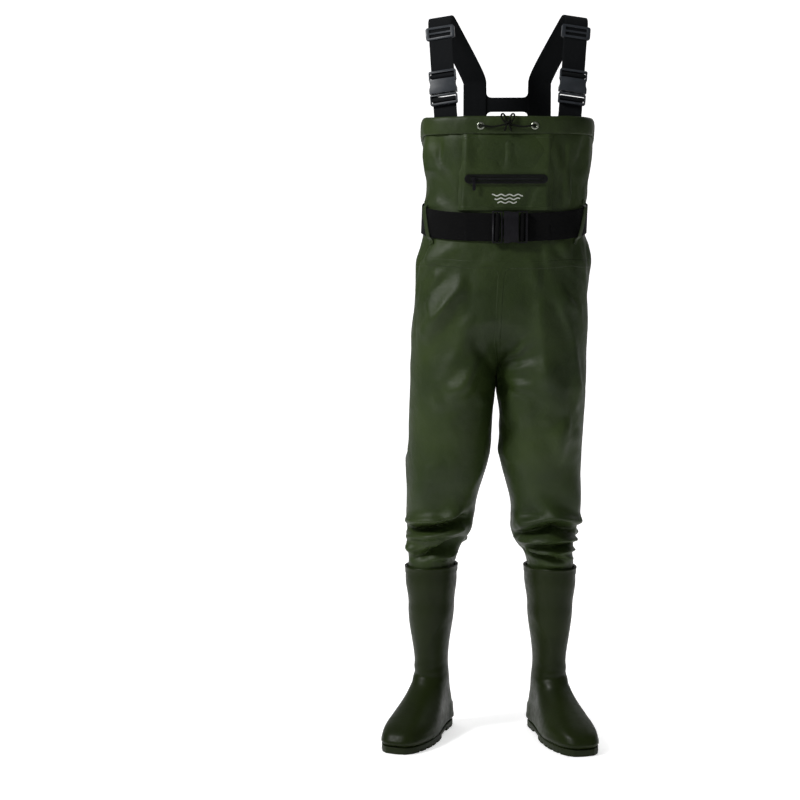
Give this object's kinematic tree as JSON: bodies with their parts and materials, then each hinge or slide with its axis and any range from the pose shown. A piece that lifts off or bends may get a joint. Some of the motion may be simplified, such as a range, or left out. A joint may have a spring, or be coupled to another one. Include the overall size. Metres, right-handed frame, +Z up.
{
  "type": "chest waders",
  "caption": "Coated-fabric bib trousers with moulded boots, shoulder straps, a buckled waist belt and a zipped chest pocket; keeps the wearer dry while wading.",
  "frame": {"origin": "on the floor, midway between the two boots", "axes": "+Z up, -Y towards the front of the wearer, +X towards the wearer's left"},
  "size_m": [0.453, 0.3291, 1.5382],
  "materials": {
    "coated_fabric": "semi-matte PVC-coated nylon",
    "moulded_boot": "semi-gloss moulded PVC",
    "outsole": "matte moulded PVC",
    "webbing": "woven black webbing",
    "drawcord": "braided cord",
    "acetal": "moulded grey acetal",
    "black_acetal": "moulded black acetal",
    "nickel": "nickel-plated brass",
    "zipper": "coated zipper",
    "insole": "foam with a woven face"
  },
  "bodies": {
    "root": {"back_belt_loop": "coated_fabric", "back_crossbar": "webbing", "belt_buckle_female": "black_acetal", "belt_web_back": "webbing", "belt_web_left": "webbing", "belt_web_right": "webbing", "bib_back_panel": "coated_fabric", "bib_front_panel": "coated_fabric", "chest_pocket_bag": "coated_fabric", "chest_pocket_panel": "coated_fabric", "drawcord_in_casing": "drawcord", "drawcord_knot": "drawcord", "drawcord_left_end": "drawcord", "drawcord_right_end": "drawcord", "hem_casing": "coated_fabric", "left_belt_loop": "coated_fabric", "left_boot_insole": "insole", "left_boot_outsole": "outsole", "left_boot_top_band": "moulded_boot", "left_boot_upper": "moulded_boot", "left_eyelet": "nickel", "left_leg_back_panel": "coated_fabric", "left_leg_front_panel": "coated_fabric", "left_strap_back_web": "webbing", "left_strap_buckle_male": "acetal", "left_strap_elastic_web": "webbing", "left_strap_lower_web": "webbing", "right_belt_loop": "coated_fabric", "right_boot_insole": "insole", "right_boot_outsole": "outsole", "right_boot_top_band": "moulded_boot", "right_boot_upper": "moulded_boot", "right_eyelet": "nickel", "right_leg_back_panel": "coated_fabric", "right_leg_front_panel": "coated_fabric", "right_strap_back_web": "webbing", "right_strap_buckle_male": "acetal", "right_strap_elastic_web": "webbing", "right_strap_lower_web": "webbing", "waist_seam_tape": "coated_fabric", "zipper_coil": "zipper", "zipper_surround": "zipper"},
    "belt_male_half": {"belt_buckle_male": "black_acetal"},
    "belt_upper_arm": {"belt_buckle_upper_arm": "black_acetal"},
    "belt_lower_arm": {"belt_buckle_lower_arm": "black_acetal"},
    "zipper_slider": {"zipper_slider": "zipper"},
    "zipper_pull": {"zipper_pull": "zipper"},
    "right_strap_female_half": {"right_strap_buckle_female": "acetal"},
    "right_strap_inner_arm": {"right_strap_buckle_inner_arm": "acetal"},
    "right_strap_outer_arm": {"right_strap_buckle_outer_arm": "acetal"},
    "right_strap_slider": {"right_strap_slider": "acetal"},
    "left_strap_female_half": {"left_strap_buckle_female": "acetal"},
    "left_strap_inner_arm": {"left_strap_buckle_inner_arm": "acetal"},
    "left_strap_outer_arm": {"left_strap_buckle_outer_arm": "acetal"},
    "left_strap_slider": {"left_strap_slider": "acetal"}
  },
  "joints": [
    {"name": "right_strap_release", "type": "slide", "parent": "root", "child": "right_strap_female_half", "axis": [-0.0715, 0.2529, 0.9649], "range_m": [0, 0.034], "deforming": ["right_strap_elastic_web", "right_strap_buckle_inner_arm", "right_strap_buckle_outer_arm"]},
    {"name": "right_strap_inner_arm_squeeze", "type": "hinge", "parent": "root", "child": "right_strap_inner_arm", "pos_m": [-0.08475, -0.02906, 1.37102], "axis": [-0.2354, -0.9443, 0.2301], "range_deg": [0, 8], "stiffness_Nm_per_rad": 0.02, "springref_deg": -5.73},
    {"name": "right_strap_outer_arm_squeeze", "type": "hinge", "parent": "root", "child": "right_strap_outer_arm", "pos_m": [-0.11848, -0.02173, 1.3666], "axis": [0.2354, 0.9443, -0.2301], "range_deg": [0, 8], "stiffness_Nm_per_rad": 0.02, "springref_deg": -5.73},
    {"name": "right_strap_slider_adjust", "type": "slide", "parent": "root", "child": "right_strap_slider", "axis": [0.0715, -0.2529, -0.9649], "range_m": [0, 0.03]},
    {"name": "left_strap_release", "type": "slide", "parent": "root", "child": "left_strap_female_half", "axis": [0.0715, 0.2529, 0.9649], "range_m": [0, 0.034], "deforming": ["left_strap_elastic_web", "left_strap_buckle_inner_arm", "left_strap_buckle_outer_arm"]},
    {"name": "left_strap_inner_arm_squeeze", "type": "hinge", "parent": "root", "child": "left_strap_inner_arm", "pos_m": [0.14875, -0.02906, 1.37102], "axis": [-0.2354, 0.9443, -0.2301], "range_deg": [0, 8], "stiffness_Nm_per_rad": 0.02, "springref_deg": -5.73},
    {"name": "left_strap_outer_arm_squeeze", "type": "hinge", "parent": "root", "child": "left_strap_outer_arm", "pos_m": [0.18248, -0.02173, 1.3666], "axis": [0.2354, -0.9443, 0.2301], "range_deg": [0, 8], "stiffness_Nm_per_rad": 0.02, "springref_deg": -5.73},
    {"name": "left_strap_slider_adjust", "type": "slide", "parent": "root", "child": "left_strap_slider", "axis": [-0.0715, -0.2529, -0.9649], "range_m": [0, 0.03]},
    {"name": "belt_release", "type": "slide", "parent": "root", "child": "belt_male_half", "axis": [-1, 0, 0], "range_m": [0, 0.034], "deforming": ["belt_web_right", "belt_buckle_upper_arm", "belt_buckle_lower_arm"]},
    {"name": "belt_upper_arm_squeeze", "type": "hinge", "parent": "belt_male_half", "child": "belt_upper_arm", "pos_m": [0.02279, -0.0793, 1.1118], "axis": [0, 1, 0], "range_deg": [0, 8], "stiffness_Nm_per_rad": 0.02, "springref_deg": -5.73},
    {"name": "belt_lower_arm_squeeze", "type": "hinge", "parent": "belt_male_half", "child": "belt_lower_arm", "pos_m": [0.02279, -0.0793, 1.0722], "axis": [0, -1, 0], "range_deg": [0, 8], "stiffness_Nm_per_rad": 0.02, "springref_deg": -5.73},
    {"name": "zipper_slide", "type": "slide", "parent": "root", "child": "zipper_slider", "axis": [1, 0, 0], "range_m": [0, 0.13]},
    {"name": "zipper_pull_swing", "type": "hinge", "parent": "zipper_slider", "child": "zipper_pull", "pos_m": [-0.03691, -0.082, 1.1914], "axis": [-1, 0, 0], "range_deg": [0, 110]}
  ]
}
